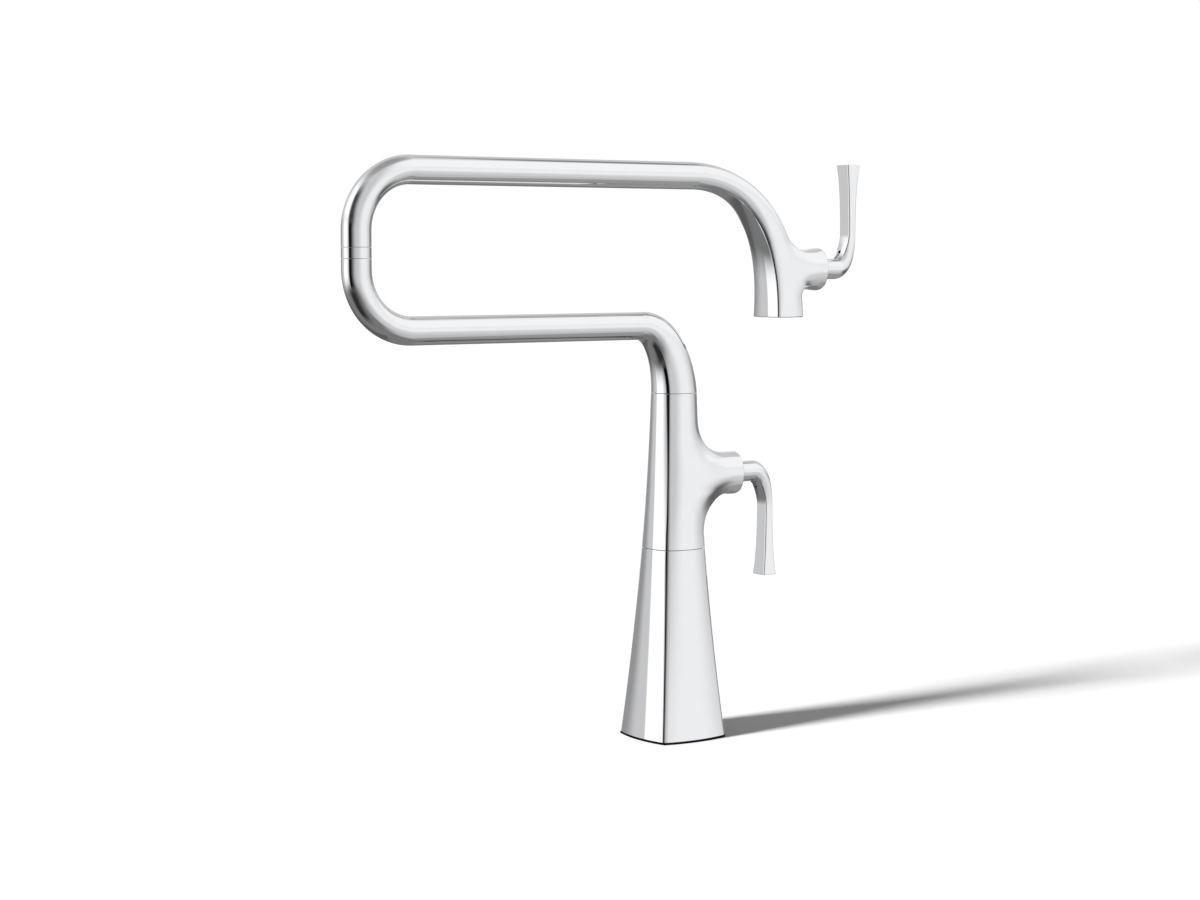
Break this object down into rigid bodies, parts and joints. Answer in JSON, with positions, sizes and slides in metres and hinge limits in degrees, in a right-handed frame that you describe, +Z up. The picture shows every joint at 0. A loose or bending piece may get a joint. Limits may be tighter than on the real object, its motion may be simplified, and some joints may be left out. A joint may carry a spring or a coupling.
{
  "type": "deck mount pot filler",
  "caption": "Deck-mounted pot filler: flared square column, folding swivel arm of round tube and a down-turned spout, with a quarter-turn lever valve in the column and in the spout.",
  "frame": {"origin": "centre of the deck seat: the underside of the base gasket, on the column's axis", "axes": "+Z up along the column; the arms fold along -X and the valve hubs and levers point to +X; -Y is the front, the side the picture is taken from, and y = 0 is the plane of symmetry at rest"},
  "size_m": [0.4736, 0.0682, 0.54],
  "materials": {
    "chrome": "polished chrome plate on brass",
    "brass": "turned brass, unplated",
    "steel": "stainless steel, satin",
    "rubber": "black rubber, matte",
    "ceramic": "fine-ground white ceramic",
    "ptfe": "white PTFE",
    "plastic": "dark grey moulded plastic"
  },
  "bodies": {
    "column": {"base_gasket": "rubber", "base_plate": "steel", "base_cover": "chrome", "mounting_shank": "brass", "under_deck_washer": "rubber", "clamp_washer": "steel", "mounting_nut": "brass", "nut_screws": "steel", "riser_tube": "brass", "riser_seals": "rubber", "column_body": "chrome", "column_spigot": "brass", "column_spigot_seals": "rubber", "lower_cartridge": "brass", "lower_fixed_disc": "ceramic", "lower_seat_seal": "rubber", "lower_bonnet_nut": "brass"},
    "lower_arm": {"lower_arm_tube": "chrome", "column_socket": "brass", "column_retainer": "steel", "column_glide_ring": "ptfe", "elbow_spigot": "brass", "elbow_spigot_seals": "rubber", "elbow_collar": "chrome"},
    "upper_arm": {"upper_arm_tube": "chrome", "elbow_socket": "brass", "elbow_retainer": "steel", "elbow_glide_ring": "ptfe", "spout_body": "chrome", "aerator_housing": "chrome", "aerator_insert": "plastic", "aerator_washer": "rubber", "upper_cartridge": "brass", "upper_fixed_disc": "ceramic", "upper_seat_seal": "rubber", "upper_bonnet_nut": "brass"},
    "lower_handle": {"lower_stem": "brass", "lower_stem_seal": "rubber", "lower_moving_disc": "ceramic", "lower_lever": "chrome", "lower_lever_screw": "steel"},
    "upper_handle": {"upper_stem": "brass", "upper_stem_seal": "rubber", "upper_moving_disc": "ceramic", "upper_lever": "chrome", "upper_lever_screw": "steel"}
  },
  "joints": [
    {"name": "column_swivel", "type": "hinge", "parent": "column", "child": "lower_arm", "pos_m": [0, 0, 0.27], "axis": [0, 0, 1], "continuous": true},
    {"name": "elbow_swivel", "type": "hinge", "parent": "lower_arm", "child": "upper_arm", "pos_m": [-0.2795, 0, 0.3826], "axis": [0, 0, 1], "continuous": true},
    {"name": "lower_handle_turn", "type": "hinge", "parent": "column", "child": "lower_handle", "pos_m": [0.0572, 0, 0.2052], "axis": [-1, 0, 0], "range_deg": [0, 90]},
    {"name": "upper_handle_turn", "type": "hinge", "parent": "upper_arm", "child": "upper_handle", "pos_m": [0.142, 0, 0.3656], "axis": [1, 0, 0], "range_deg": [0, 90]}
  ]
}
